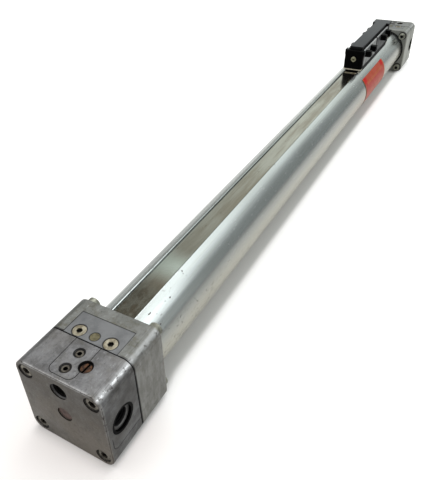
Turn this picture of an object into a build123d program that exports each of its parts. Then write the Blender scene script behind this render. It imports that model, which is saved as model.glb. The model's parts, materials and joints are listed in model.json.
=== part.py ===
from build123d import *
from math import atan2, tan
import os

# Rodless band cylinder. Millimetres. X runs along the cylinder from the near end to the
# far end, Y points left and Z up. The origin lies at mid-length, on the plane that both
# end blocks stand on.

# Driving dimensions
stroke = 600
end_allowance = 150
carriage_rest = 252
block_side = 69
end_block_length = 32
flange_block_length = 31.2
gasket_thickness = 0.8
block_edge_radius = 8
face_edge_radius = 0.8
fit_clearance = 0.05
running_clearance = 0.08
air_gap = 0.4

bore_diameter = 40
barrel_inset = 5.7
barrel_rise = 1.5
barrel_insertion = 22
recess_width = 18
recess_depth = 3.7
slot_width = 8
shoulder_radius = 0.6

outer_band_width = 17.4
outer_band_thickness = 0.6
inner_band_width = 12
inner_band_thickness = 0.4
inner_band_seat_drop = 0.05
band_bend_radius = 40

corner_screw_inset = 8.1
corner_screw_diameter = 6
corner_head_diameter = 10
corner_head_height = 6
corner_hex = 5
counterbore_diameter = 11.7
counterbore_depth = 6.8
end_screw_length = 37
flange_screw_length = 18

port_diameter = 13.16
port_position = 15.5
port_recess_diameter = 21.4
port_recess_depth = 2.2
port_ring_width = 1.9
port_chamfer = 0.7
port_overrun = 3
port_ring_sink = 0.15
end_tap_drop = 11.9
end_tap_depth = 12
chamber_diameter = 24
chamber_end_wall = 10
plug_diameter = 11.6
plug_recess = 0.9

witness_width = 0.5
witness_depth = 0.3
top_insert_width = 20.5
insert_margin = 3
insert_corner = 5
side_insert_height = 14.5
side_insert_rise = 6.7

cushion_screw_offset = 10.8
cushion_screw_position = 16.2
cushion_screw_diameter = 8
cushion_recess_diameter = 9.7
cushion_recess_depth = 3.2
cushion_screw_sink = 1.4
cushion_screw_travel_in = 1.5
cushion_slot_width = 1.3
needle_diameter = 4.8
passage_diameter = 3
cushion_screw_length = 10
cushion_slot_depth = 1.6
cushion_slot_angle = -3
needle_bore_depth = 7
needle_taper_length = 5
needle_tip_diameter = 1.4
needle_tip_reach = 0.6
oring_section = 1
oring_groove_depth = 1.1
oring_groove_width = 1.8
oring_rise = 2.2
set_screw_diameter = 6
set_screw_length = 4
set_screw_positions = (9.7, 23.0)
set_screw_hex = 3
set_screw_sink = 0.7
set_screw_socket_depth = 2.4
set_screw_countersink = 1

clamp_length = 20.5
clamp_width = 44.6
clamp_thickness = 4
clamp_gap = 0.12
clamp_screw_position = 38.2
clamp_screw_spacing = 25.8
clamp_screw_diameter = 5
clamp_screw_head = 9.5
clamp_screw_length = 12
clamp_pin_diameter = 7
clamp_sink = 0.1
clamp_head_gap = 0.35
clamp_head_rim = 1.2
clamp_head_depth = 3.6
clamp_screw_hex = 4
clamp_socket_depth = 2.2
outer_band_inset = 1.5
inner_band_insertion = 4
band_end_gap = 0.2
barrel_ring_width = 2.2
barrel_ring_depth = 3
bore_seal_inset = 1.2
bore_seal_width = 1.8
bore_seal_depth = 1.2
cushion_seal_length = 5
gasket_inset = 0.4

spigot_diameter = 16
spigot_length = 24
spigot_thread_diameter = 10
spigot_thread_length = 12
spigot_chamfer = 1.5
spigot_hex = 6
throat_gap = 0.3
piston_end_gap = 0.5
piston_head_length = 23.5
piston_seal_width = 5
wear_ring_width = 8
ring_depth = 2.4
piston_gap = 0.4
piston_land = 3
yoke_gap = 0.8
inner_band_drop = 8
yoke_screw_diameter = 4
yoke_screw_head = 8
yoke_screw_inset = 9
yoke_screw_depth = 9
yoke_screw_hex = 2.5

carriage_length = 154
end_plate_thickness = 7
carriage_width = 22
carriage_clearance = 0.8
channel_width = 18.5
channel_height = 27
channel_floor_thickness = 5.4
cover_width = 18
cover_rise = 4
cover_head_length = 21
cover_head_width = 25.4
band_bend_margin = 0.24
band_ramp_length = 25
band_ramp_start = 5
neck_inset = 3
neck_width = 7.2
end_plate_width = 25.8
end_plate_screw_drop = 12
side_plate_thickness = 1.5
side_plate_rise = 3.2
nut_size = 8
left_nut_thickness = 4
right_nut_thickness = 8
nut_drop = 6.5
nut_pair_inset = 25
nut_shift = -2
nut_pitch = 28
nut_chamfer = 0.6
stud_reach = 6
guide_rise = 2.6
plate_split = 4
side_plate_drop = 0.4
end_screw_reach = 12
end_plate_screw_diameter = 5
end_plate_head_diameter = 7.2
end_plate_head_height = 1.6
end_plate_hex = 3
end_plate_corner = 1.6
seal_overhang = 0.3
stud_diameter = 4
strip_thickness = 1.2
strip_clearance = 1

label_start = 158
label_length = 107
label_top_angle = 46
label_arc = 90
label_thickness = 0.25

# Values worked out from those above
half_length = stroke / 2 + end_allowance
block_length = end_block_length + gasket_thickness + flange_block_length
bore_height = block_side / 2
barrel_height = bore_height + barrel_rise
barrel_radius = block_side / 2 - barrel_inset
barrel_crown = barrel_height + barrel_radius
bore_radius = bore_diameter / 2
barrel_end = block_length - barrel_insertion
flange_start = end_block_length + gasket_thickness
recess_floor = barrel_crown - recess_depth
band_top = recess_floor + outer_band_thickness
inner_band_seat = bore_height + bore_radius - inner_band_seat_drop
inner_band_top = inner_band_seat - fit_clearance
inner_band_bottom = inner_band_top - inner_band_thickness
screw_offset = block_side / 2 - corner_screw_inset
end_tap_height = block_side - end_tap_drop
ring_radius = barrel_radius + fit_clearance
port_inner_end = port_overrun - chamber_diameter / 2
piston_half_length = half_length - barrel_end - stroke / 2 - piston_end_gap
yoke_half_length = piston_half_length - piston_head_length
channel_half_length = carriage_length / 2 - end_plate_thickness
channel_floor_bottom = barrel_crown - carriage_clearance
channel_floor_top = channel_floor_bottom + channel_floor_thickness
channel_top = channel_floor_bottom + channel_height
cover_top = channel_top + cover_rise
guide_top = channel_floor_top + guide_rise
side_plate_bottom = barrel_crown + side_plate_rise
strip_bottom = barrel_crown - strip_clearance
end_plate_screw_height = channel_top - end_plate_screw_drop
nut_height = channel_top - nut_drop
outer_ramp_start = channel_half_length - band_ramp_start
outer_ramp_end = outer_ramp_start - band_ramp_length
band_over_floor = channel_floor_top + air_gap
band_slope = atan2(band_over_floor - recess_floor, band_ramp_length)
band_bend_reach = band_bend_radius * tan(band_slope / 2)
floor_half_length = outer_ramp_end - band_bend_reach - band_bend_margin
neck_half_length = floor_half_length - neck_inset
band_under_neck = bore_height + inner_band_drop
screw_top = block_side - cushion_screw_sink
screw_shoulder = screw_top - cushion_screw_length
needle_bore_top = screw_shoulder - cushion_screw_travel_in - air_gap
needle_seat = needle_bore_top - needle_bore_depth
needle_tip = needle_seat - needle_tip_reach
oring_inner = cushion_screw_diameter / 2 - oring_groove_depth
oring_height = screw_shoulder + oring_rise
outer_band_start = flange_start + outer_band_inset
inner_band_start = barrel_end - inner_band_insertion
barrel_ring_outer = barrel_radius + barrel_ring_width
bore_seal_inner = bore_radius + bore_seal_inset
bore_seal_outer = bore_seal_inner + bore_seal_width
seal_start = piston_half_length - piston_land - piston_seal_width
wear_ring_start = seal_start - piston_land - wear_ring_width
spigot_thread_radius = spigot_thread_diameter / 2
yoke_screw_radius = yoke_screw_diameter / 2
yoke_screw_pitch = (neck_half_length - yoke_screw_inset) * 2 / 3
yoke_screw_places = [(step - 1.5) * yoke_screw_pitch for step in range(4)]
yoke_screw_top = channel_floor_top - 0.1
nut_pair_offset = channel_half_length - nut_pair_inset
nut_places = [nut_shift + side * nut_pair_offset + step * nut_pitch / 2
              for side in (-1, 1) for step in (-1, 1)]


def block(x0, x1, y0, y1, z0, z1):
    """A box between two corners."""
    size = Box(x1 - x0, y1 - y0, z1 - z0)
    return Pos((x0 + x1) / 2, (y0 + y1) / 2, (z0 + z1) / 2) * size


def rod_x(radius, x0, x1, y=0.0, z=0.0):
    """A cylinder along X."""
    body = Cylinder(radius, x1 - x0)
    return Pos((x0 + x1) / 2, y, z) * Rot(0, 90, 0) * body


def rod_y(radius, y0, y1, x=0.0, z=0.0):
    """A cylinder along Y."""
    body = Cylinder(radius, y1 - y0)
    return Pos(x, (y0 + y1) / 2, z) * Rot(90, 0, 0) * body


def rod_z(radius, z0, z1, x=0.0, y=0.0):
    """A cylinder along Z."""
    return Pos(x, y, (z0 + z1) / 2) * Cylinder(radius, z1 - z0)


def cone_z(lower, upper, z0, z1, x=0.0, y=0.0):
    """A cone along Z, given its lower and upper radius."""
    return Pos(x, y, (z0 + z1) / 2) * Cone(lower, upper, z1 - z0)


def hex_x(across_flats, x0, x1, y, z):
    """A hexagonal prism along X."""
    outline = RegularPolygon(across_flats / 2, 6, major_radius=False)
    return extrude(Plane((x0, y, z), x_dir=(0, 1, 0), z_dir=(1, 0, 0)) * outline, x1 - x0)


def hex_z(across_flats, z0, z1, x, y):
    """A hexagonal prism along Z."""
    outline = RegularPolygon(across_flats / 2, 6, major_radius=False)
    return extrude(Plane((x, y, z0)) * outline, z1 - z0)


def corner_places():
    """The four corner screw axes, as Y and Z."""
    places = []
    for side in (-1, 1):
        for level in (-1, 1):
            places.append((side * screw_offset, bore_height + level * screw_offset))
    return places


def rounded_block(x0, x1, inset=0.0):
    """A square length of casting with its four long edges rounded."""
    half = block_side / 2 - inset
    body = block(x0, x1, -half, half, inset, block_side - inset)
    return fillet(body.edges().filter_by(Axis.X), block_edge_radius - inset)


def witness_line(length, width):
    """A narrow line round three sides of a mould insert, drawn from the parting plane."""
    outer = Pos(length / 2, 0) * RectangleRounded(length, width, insert_corner)
    inner_length = length - 2 * witness_width
    inner_width = width - 2 * witness_width
    inner = Pos(length / 2, 0) * RectangleRounded(inner_length, inner_width, insert_corner - witness_width)
    return outer - inner


def end_block():
    """The outer casting: air chamber, ports, cushion needle bore and corner screw seats."""
    body = rounded_block(0, end_block_length)
    outer_edges = body.edges().group_by(Axis.X)[0]
    body = fillet(outer_edges, face_edge_radius)
    cuts = [rod_x(chamber_diameter / 2, chamber_end_wall, end_block_length + 1, 0, bore_height)]
    for y, z in corner_places():
        cuts.append(rod_x(counterbore_diameter / 2, -1, counterbore_depth, y, z))
        cuts.append(rod_x(corner_screw_diameter / 2 + fit_clearance, 0, end_block_length + 1, y, z))
    side = -block_side / 2
    port_floor = side + port_recess_depth
    cuts.append(rod_y(port_recess_diameter / 2, side - 1, port_floor, port_position, bore_height))
    cuts.append(rod_y(port_diameter / 2, side, port_inner_end, port_position, bore_height))
    port_mouth = Cone(port_diameter / 2, port_diameter / 2 + port_chamfer, port_chamfer)
    cuts.append(Pos(port_position, port_floor + port_chamfer / 2, bore_height) * Rot(90, 0, 0) * port_mouth)
    cuts.append(rod_x(port_diameter / 2, -1, end_tap_depth, 0, end_tap_height))
    cuts.append(rod_x(plug_diameter / 2 + fit_clearance, -1, chamber_end_wall + 1, 0, bore_height))
    cuts += cushion_bore()
    for x in set_screw_positions:
        depth = set_screw_length + set_screw_sink + air_gap
        cuts.append(rod_z(set_screw_diameter / 2 + fit_clearance, block_side - depth, block_side + 1, x, 0))
        mouth = set_screw_diameter / 2
        cuts.append(cone_z(mouth, mouth + set_screw_countersink, block_side - set_screw_countersink,
                           block_side, x, 0))
    line = witness_line(2 * (end_block_length - insert_margin), top_insert_width)
    line = extrude(Plane((insert_margin, 0, block_side - witness_depth)) * line, 1)
    cuts.append(line & block(0, end_block_length + 1, -block_side, block_side, 0, block_side + 1))
    side_width = 2 * (bore_height - side_insert_height)
    line = witness_line(2 * (end_block_length - insert_margin), side_width)
    plane = Plane((insert_margin, side + witness_depth, bore_height), x_dir=(1, 0, 0), z_dir=(0, -1, 0))
    line = extrude(plane * line, 1)
    cuts.append(line & block(0, end_block_length + 1, side - 1, 0, 0, bore_height - side_insert_rise))
    return body - cuts


def cushion_bore():
    """The stepped bore of the cushion needle, down to the air chamber."""
    x = cushion_screw_position
    y = -cushion_screw_offset
    body_radius = cushion_screw_diameter / 2 + fit_clearance
    needle_radius = needle_diameter / 2 + fit_clearance
    return [
        rod_z(cushion_recess_diameter / 2, block_side - cushion_recess_depth, block_side + 1, x, y),
        rod_z(body_radius, needle_bore_top, block_side, x, y),
        rod_z(needle_radius, needle_seat, block_side, x, y),
        rod_z(passage_diameter / 2, bore_height + 2, block_side, x, y),
    ]


def cushion_screw():
    """The slotted brass needle that throttles the air at the end of the stroke."""
    x = cushion_screw_position
    y = -cushion_screw_offset
    radius = cushion_screw_diameter / 2
    body = rod_z(radius, screw_shoulder, screw_top, x, y)
    body = chamfer(body.edges().group_by(Axis.Z)[-1], 0.4)
    taper_top = needle_tip + needle_taper_length
    body += rod_z(needle_diameter / 2, taper_top, screw_shoulder + 1, x, y)
    body += cone_z(needle_tip_diameter / 2, needle_diameter / 2, needle_tip, taper_top, x, y)
    half_groove = oring_groove_width / 2
    groove = rod_z(radius + 1, oring_height - half_groove, oring_height + half_groove, x, y)
    groove -= rod_z(oring_inner, oring_height - oring_groove_width, oring_height + oring_groove_width, x, y)
    slot = block(x - radius - 1, x + radius + 1, y - cushion_slot_width / 2,
                 y + cushion_slot_width / 2, screw_top - cushion_slot_depth, screw_top + 1)
    turn = Pos(x, y, 0) * Rot(0, 0, cushion_slot_angle) * Pos(-x, -y, 0)
    return body - groove - turn * slot


def cushion_oring():
    """The rubber ring in the needle's groove."""
    section = oring_section / 2
    ring = Torus(oring_inner + section + fit_clearance / 2, section)
    return Pos(cushion_screw_position, -cushion_screw_offset, oring_height) * ring


def flange_block():
    """The inner casting: barrel socket, cushion throat, band seats and clamp pocket."""
    body = rounded_block(flange_start, block_length)
    outer_edges = body.edges().group_by(Axis.X)[-1]
    body = fillet(outer_edges, face_edge_radius)
    socket = rod_x(ring_radius, barrel_end, block_length + 1, 0, barrel_height)
    cuts = [socket]
    cuts.append(rod_x(barrel_ring_outer + fit_clearance, block_length - barrel_ring_depth,
                      block_length + 1, 0, barrel_height))
    cuts.append(rod_x(spigot_diameter / 2 + throat_gap, 0, barrel_end + 1, 0, bore_height))
    for y, z in corner_places():
        radius = corner_screw_diameter / 2 + fit_clearance
        cuts.append(rod_x(radius, flange_start - 1, block_length + 1, y, z))
    seal_cut = rod_x(bore_seal_outer, barrel_end - bore_seal_depth, barrel_end + 1, 0, bore_height)
    seal_cut -= rod_x(bore_seal_inner, 0, block_length, 0, bore_height)
    cuts.append(seal_cut)
    half_clamp = clamp_width / 2 + clamp_gap
    clamp_end = flange_start + clamp_length
    cuts.append(block(flange_start - 1, clamp_end + clamp_gap, -half_clamp, half_clamp,
                      block_side - clamp_thickness, block_side + 1))
    half_key = recess_width / 2
    cuts.append(block(outer_band_start, clamp_end + clamp_gap, -half_key, half_key,
                      recess_floor, block_side))
    for side in (-1, 1):
        y = side * clamp_screw_spacing / 2
        bottom = block_side - clamp_screw_length
        cuts.append(rod_z(clamp_screw_diameter / 2 + fit_clearance, bottom, block_side,
                          clamp_screw_position, y))
    half_seat = inner_band_width / 2 + band_end_gap
    cuts.append(block(inner_band_start, barrel_end + 1, -half_seat, half_seat,
                      inner_band_bottom - fit_clearance, inner_band_top + fit_clearance))
    return body - cuts


def joint_gasket():
    """The thin gasket between the two castings."""
    body = rounded_block(end_block_length, flange_start, gasket_inset)
    cuts = [rod_x(chamber_diameter / 2, 0, block_length, 0, bore_height)]
    for y, z in corner_places():
        cuts.append(rod_x(corner_screw_diameter / 2 + gasket_inset, 0, block_length, y, z))
    return body - cuts


def cap_screw(head_start, head_direction, shank_length, y, z):
    """A hexagon socket cap screw along X, its head starting at the given station."""
    head_end = head_start + head_direction * corner_head_height
    x0 = min(head_start, head_end)
    x1 = max(head_start, head_end)
    screw = rod_x(corner_head_diameter / 2, x0, x1, y, z)
    rim = screw.edges().group_by(Axis.X)[0 if head_direction < 0 else -1]
    screw = chamfer(rim, 0.5)
    shank_end = head_start - head_direction * shank_length
    screw += rod_x(corner_screw_diameter / 2, min(head_start, shank_end), max(head_start, shank_end), y, z)
    socket_end = head_end - head_direction * corner_head_height / 2
    screw -= hex_x(corner_hex, min(head_end, socket_end), max(head_end, socket_end), y, z)
    return screw


def end_screws():
    """Four screws that pull the outer casting on to the inner one."""
    return [cap_screw(counterbore_depth, -1, end_screw_length, y, z) for y, z in corner_places()]


def flange_screws():
    """Four screws whose heads stand on the barrel side of the inner casting."""
    return [cap_screw(block_length, 1, flange_screw_length, y, z) for y, z in corner_places()]


def end_plug():
    """The press plug that closes the drilled end of the air chamber."""
    plug = rod_x(plug_diameter / 2, plug_recess, chamber_end_wall, 0, bore_height)
    return chamfer(plug.edges().group_by(Axis.X)[0], 0.5)


def port_ring():
    """The black sealing ring that lines the port recess."""
    side = -block_side / 2
    floor = side + port_recess_depth
    outer = port_recess_diameter / 2
    ring = rod_y(outer, side + port_ring_sink, floor, port_position, bore_height)
    return ring - rod_y(outer - port_ring_width, side, floor + 1, port_position, bore_height)


def passage_screws():
    """Two set screws that close drilled air passages in the top of the outer casting."""
    screws = []
    for x in set_screw_positions:
        top = block_side - set_screw_sink
        screw = rod_z(set_screw_diameter / 2, top - set_screw_length, top, x, 0)
        screw = chamfer(screw.edges().group_by(Axis.Z)[-1], 0.4)
        screws.append(screw - hex_z(set_screw_hex, top - set_screw_socket_depth, top + 1, x, 0))
    return screws


def band_clamp():
    """The flush plate whose key presses the cover band into its seat."""
    start = flange_start + clamp_gap
    end = flange_start + clamp_length
    half_width = clamp_width / 2
    bottom = block_side - clamp_thickness
    plate = block(start, end, -half_width, half_width, bottom, block_side - clamp_sink)
    half_key = outer_band_width / 2
    plate += block(outer_band_start + air_gap, end, -half_key, half_key, band_top + 0.02, bottom + 1)
    cuts = [rod_z(clamp_pin_diameter / 2 + fit_clearance, 0, block_side + 1, clamp_screw_position, 0)]
    for side in (-1, 1):
        y = side * clamp_screw_spacing / 2
        shank = clamp_screw_diameter / 2 + fit_clearance
        head = clamp_screw_head / 2 + clamp_head_gap
        rim = block_side - clamp_head_rim
        cuts.append(rod_z(shank, 0, block_side + 1, clamp_screw_position, y))
        cuts.append(rod_z(head, rim, block_side + 1, clamp_screw_position, y))
        cuts.append(cone_z(shank, head, block_side - clamp_head_depth, rim, clamp_screw_position, y))
    return plate - cuts


def band_clamp_screws():
    """Two countersunk socket screws that hold the clamp plate."""
    screws = []
    top = block_side - clamp_head_gap
    rim = block_side - clamp_head_rim
    neck = block_side - clamp_head_depth
    bottom = block_side - clamp_screw_length + air_gap
    head = clamp_screw_head / 2
    shank = clamp_screw_diameter / 2
    x = clamp_screw_position
    for side in (-1, 1):
        y = side * clamp_screw_spacing / 2
        screw = rod_z(head, rim, top, x, y)
        screw += cone_z(shank, head, neck, rim, x, y)
        screw += rod_z(shank, bottom, neck, x, y)
        screws.append(screw - hex_z(clamp_screw_hex, top - clamp_socket_depth, top + 1, x, y))
    return screws


def band_clamp_pin():
    """The pin that bears on the end of the cover band."""
    pin = rod_z(clamp_pin_diameter / 2, band_top + 0.02, block_side - clamp_sink, clamp_screw_position, 0)
    return chamfer(pin.edges().group_by(Axis.Z)[-1], 0.3)


def barrel_ring():
    """The black rubber ring where the barrel enters the casting."""
    ring = rod_x(barrel_ring_outer, block_length - barrel_ring_depth, block_length, 0, barrel_height)
    return ring - rod_x(ring_radius, 0, block_length + 1, 0, barrel_height)


def bore_seal():
    """The face seal between the barrel's end and the casting."""
    ring = rod_x(bore_seal_outer - fit_clearance, barrel_end - bore_seal_depth, barrel_end, 0, bore_height)
    return ring - rod_x(bore_seal_inner + fit_clearance, 0, block_length, 0, bore_height)


def cushion_seal():
    """The collar that grips the cushion spigot at the end of the stroke."""
    start = end_block_length - cushion_seal_length
    ring = rod_x(chamber_diameter / 2 - fit_clearance, start, end_block_length, 0, bore_height)
    return ring - rod_x(spigot_diameter / 2 + running_clearance, 0, block_length, 0, bore_height)


def barrel():
    """The slotted extrusion with its bore, cover band recess and inner band seat."""
    x0 = -half_length + barrel_end
    x1 = half_length - barrel_end
    body = rod_x(barrel_radius, x0, x1, 0, barrel_height)
    half_recess = recess_width / 2
    recess = block(x0 - 1, x1 + 1, -half_recess, half_recess, recess_floor, block_side)
    half_seat = inner_band_width / 2 + band_end_gap
    seat = block(x0 - 1, x1 + 1, -half_seat, half_seat, bore_height, inner_band_seat)
    slot = block(x0 - 1, x1 + 1, -slot_width / 2, slot_width / 2, bore_height, block_side)
    bore = rod_x(bore_radius, x0 - 1, x1 + 1, 0, bore_height)
    body = body - [recess, bore, seat, slot]
    lips = [edge for edge in body.edges().filter_by(Axis.X)
            if abs(abs(edge.center().Y) - half_recess) < 0.01 and edge.center().Z > recess_floor + 1]
    return fillet(lips, shoulder_radius)


def band_path(points, radius):
    """A band's centre line in the XZ plane, straight runs joined by arcs."""
    return FilletPolyline(*[(x, 0, z) for x, z in points], radius=radius)


def bent_band(points, width, thickness, radius):
    """A flat steel strip that follows bends seen from the side."""
    line = band_path(points, radius)
    start = line @ 0
    section = Plane(start, x_dir=(0, 1, 0), z_dir=(1, 0, 0)) * Rectangle(width, thickness)
    return sweep(section, line)


def outer_band():
    """The cover band, lifted over the carriage floor where the carriage stands."""
    level = recess_floor + outer_band_thickness / 2
    lifted = band_over_floor + outer_band_thickness / 2
    start = outer_ramp_start
    top = outer_ramp_end
    end = half_length - outer_band_start - band_end_gap
    c = carriage_rest
    points = [(-end, level), (c - start, level), (c - top, lifted),
              (c + top, lifted), (c + start, level), (end, level)]
    return bent_band(points, outer_band_width, outer_band_thickness, band_bend_radius)


def inner_band():
    """The sealing band, led down through the yoke below the neck."""
    level = (inner_band_top + inner_band_bottom) / 2
    lowered = band_under_neck + inner_band_thickness / 2
    ramp_start = yoke_half_length - 1
    ramp_end = neck_half_length + 4
    end = half_length - inner_band_start - band_end_gap
    c = carriage_rest
    points = [(-end, level), (c - ramp_start, level), (c - ramp_end, lowered),
              (c + ramp_end, lowered), (c + ramp_start, level), (end, level)]
    return bent_band(points, inner_band_width, inner_band_thickness, band_bend_radius)


def type_label():
    """A thin foil label wrapped on the right of the barrel."""
    inner = barrel_radius + fit_clearance
    ring = rod_x(inner + label_thickness, label_start, label_start + label_length, 0, barrel_height)
    ring -= rod_x(inner, label_start - 1, label_start + label_length + 1, 0, barrel_height)
    plane = Plane((label_start - 1, 0, barrel_height), x_dir=(0, -1, 0), z_dir=(1, 0, 0))
    sector = extrude(plane * label_wedge(), label_length + 2)
    return ring & sector


def label_wedge():
    """The sector of the barrel that the label covers, seen along the barrel."""
    reach = 2 * barrel_radius
    first = Vector(reach, 0).rotate(Axis.Z, -label_top_angle)
    middle = Vector(reach * 1.5, 0).rotate(Axis.Z, label_arc / 2 - label_top_angle)
    last = Vector(reach, 0).rotate(Axis.Z, label_arc - label_top_angle)
    return make_face(Polyline((0, 0), first, middle, last, close=True))


def piston_yoke():
    """The bar between the pistons, with the neck that reaches up through the slot."""
    bar_radius = bore_radius - yoke_gap
    bar = rod_x(bar_radius, -yoke_half_length, yoke_half_length, 0, bore_height)
    half_seat = inner_band_width / 2 + yoke_gap
    roof = bore_height + bar_radius + 1
    low = band_under_neck - air_gap
    high = inner_band_bottom - air_gap
    ramp_start = yoke_half_length - 1
    ramp_end = neck_half_length + 2
    beyond = yoke_half_length + 1
    knee = high - 0.6
    side_view = Polyline((-beyond, roof), (-beyond, high), (-ramp_start, knee), (-ramp_end, low),
                         (ramp_end, low), (ramp_start, knee), (beyond, high), (beyond, roof),
                         close=True)
    channel = extrude(Plane.XZ * make_face(side_view), half_seat, both=True)
    tunnel_roof = band_under_neck + inner_band_thickness + air_gap
    bridge = block(-neck_half_length, neck_half_length, -half_seat, half_seat, tunnel_roof, roof)
    yoke = bar - (channel - bridge)
    neck = block(-neck_half_length, neck_half_length, -neck_width / 2, neck_width / 2,
                 tunnel_roof, channel_floor_bottom)
    upright = neck.edges().filter_by(Axis.Z)
    yoke += fillet(upright, 2)
    cuts = []
    for x in yoke_screw_places:
        cuts.append(rod_z(yoke_screw_radius, channel_floor_bottom - yoke_screw_depth - 0.5,
                          block_side, x, 0))
    for side in (-1, 1):
        x0 = side * (yoke_half_length - spigot_thread_length)
        x1 = side * (yoke_half_length + 1)
        cuts.append(rod_x(spigot_thread_radius, min(x0, x1), max(x0, x1), 0, bore_height))
    return yoke - cuts


def yoke_screws():
    """Countersunk screws through the carriage floor into the neck."""
    screws = []
    for x in yoke_screw_places:
        top = yoke_screw_top
        screw = cone_z(yoke_screw_radius, yoke_screw_head / 2, top - 2, top, x, 0)
        screw += rod_z(yoke_screw_radius, channel_floor_bottom - yoke_screw_depth, top - 1.9, x, 0)
        screws.append(screw - hex_z(yoke_screw_hex, top - 1.4, top + 1, x, 0))
    return screws


def piston():
    """One piston head, with grooves for its seal and wear ring and a flat for the inner band."""
    radius = bore_radius - piston_gap
    head = rod_x(radius, yoke_half_length, piston_half_length, 0, bore_height)
    head = chamfer(head.edges(), 0.6)
    cuts = [rod_x(spigot_thread_radius, 0, half_length, 0, bore_height)]
    for start, width in ((seal_start, piston_seal_width), (wear_ring_start, wear_ring_width)):
        groove = rod_x(radius + 1, start, start + width, 0, bore_height)
        cuts.append(groove - rod_x(bore_radius - ring_depth, start - 1, start + width + 1, 0, bore_height))
    return head - cuts - band_flat(air_gap)


def band_flat(gap):
    """What the pistons and their rings leave free for the inner band."""
    return block(0, half_length, -bore_radius, bore_radius, inner_band_bottom - gap, block_side)


def piston_ring(start, width):
    """A ring in a piston groove, running on the bore."""
    ring = rod_x(bore_radius - running_clearance, start + 0.05, start + width - 0.05, 0, bore_height)
    ring -= rod_x(bore_radius - ring_depth + 0.02, 0, half_length, 0, bore_height)
    return ring - band_flat(0.1)


def cushion_spigot():
    """The stem on the piston that enters the end casting, screwed through the piston."""
    stem = rod_x(spigot_diameter / 2, piston_half_length, piston_half_length + spigot_length, 0, bore_height)
    stem = chamfer(stem.edges().group_by(Axis.X)[-1], spigot_chamfer)
    stem += rod_x(spigot_thread_radius - fit_clearance, yoke_half_length - spigot_thread_length + air_gap,
                  piston_half_length, 0, bore_height)
    end = piston_half_length + spigot_length
    return stem - hex_x(spigot_hex, end - spigot_hex, end + 1, 0, bore_height)


def carriage_body():
    """The black channel over the cover band: two walls joined by a floor on the neck."""
    half = carriage_width / 2
    inner = channel_width / 2
    end = channel_half_length
    bottom = channel_floor_bottom
    body = block(-end, end, -half, half, bottom, channel_top)
    body -= block(-end - 1, end + 1, -inner, inner, bottom - 1, channel_top + 1)
    body += block(-floor_half_length, floor_half_length, -inner, inner, bottom, channel_floor_top)
    top_edges = body.edges().filter_by(Axis.X).group_by(Axis.Z)[-1]
    body = chamfer(top_edges.filter_by(lambda edge: abs(edge.center().Y) > inner + 0.5), 0.5)
    cuts = []
    for x in yoke_screw_places:
        top = yoke_screw_top
        head = yoke_screw_head / 2 + fit_clearance
        shank = yoke_screw_radius + fit_clearance
        cuts.append(rod_z(shank, channel_floor_bottom - 1, top, x, 0))
        cuts.append(cone_z(shank, head, top - 2, top, x, 0))
        cuts.append(rod_z(head, top, channel_floor_top + 1, x, 0))
    for x in nut_places:
        cuts.append(rod_y(stud_diameter / 2 + fit_clearance, -half - 1, half + 1, x, nut_height))
    return body - cuts


def carriage_cover():
    """The flat-topped bar that carries the load, with a wide head over the far end plate."""
    half = cover_width / 2
    body = block(-channel_half_length, channel_half_length, -half, half, guide_top, cover_top)
    half_head = cover_head_width / 2
    body += block(channel_half_length, channel_half_length + cover_head_length,
                  -half_head, half_head, channel_top, cover_top)
    top_edges = body.edges().filter_by(Axis.X).group_by(Axis.Z)[-1]
    body = chamfer(top_edges.filter_by(lambda edge: edge.center().X < channel_half_length), 0.6)
    cuts = []
    for x in nut_places:
        for side in (-1, 1):
            y0 = side * (half - stud_reach)
            y1 = side * (half + 1)
            cuts.append(rod_y(stud_diameter / 2 + fit_clearance, min(y0, y1), max(y0, y1), x, nut_height))
    for side in (-1, 1):
        x0 = side * (channel_half_length - end_screw_reach)
        x1 = side * (channel_half_length + 1)
        radius = end_plate_screw_diameter / 2 + fit_clearance
        cuts.append(rod_x(radius, min(x0, x1), max(x0, x1), 0, end_plate_screw_height))
    return body - cuts


def end_plate():
    """The black plate on one end of the carriage."""
    half = end_plate_width / 2
    bottom = strip_bottom + strip_thickness
    body = block(channel_half_length, carriage_length / 2, -half, half, bottom, channel_top)
    body = fillet(body.edges().filter_by(Axis.X), end_plate_corner)
    front = body.edges().group_by(Axis.X)[-1]
    body = chamfer(front, 0.6)
    radius = end_plate_screw_diameter / 2 + fit_clearance
    return body - rod_x(radius, 0, half_length, 0, end_plate_screw_height)


def end_plate_screw():
    """The round socket screw in the middle of an end plate."""
    x = carriage_length / 2
    end = x + end_plate_head_height
    head = rod_x(end_plate_head_diameter / 2, x, end, 0, end_plate_screw_height)
    head = chamfer(head.edges().group_by(Axis.X)[-1], 0.5)
    start = channel_half_length - end_screw_reach + air_gap
    head += rod_x(end_plate_screw_diameter / 2, start, x, 0, end_plate_screw_height)
    return head - hex_x(end_plate_hex, x - 1, end + 1, 0, end_plate_screw_height)


def wiper_strip():
    """The bright strip under an end plate that backs the wiper."""
    half = end_plate_width / 2 - 0.2
    return block(channel_half_length, carriage_length / 2 + 0.6, -half, half,
                 strip_bottom, strip_bottom + strip_thickness)


def wiper():
    """The rubber lip that wipes the cover band in its recess."""
    half = recess_width / 2 - air_gap
    body = block(channel_half_length + 0.5, carriage_length / 2 - 0.5, -half, half,
                 band_top + throat_gap, strip_bottom)
    front = body.edges().filter_by(Axis.Y).group_by(Axis.Z)[0].group_by(Axis.X)[-1]
    return chamfer(front, 1)


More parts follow.
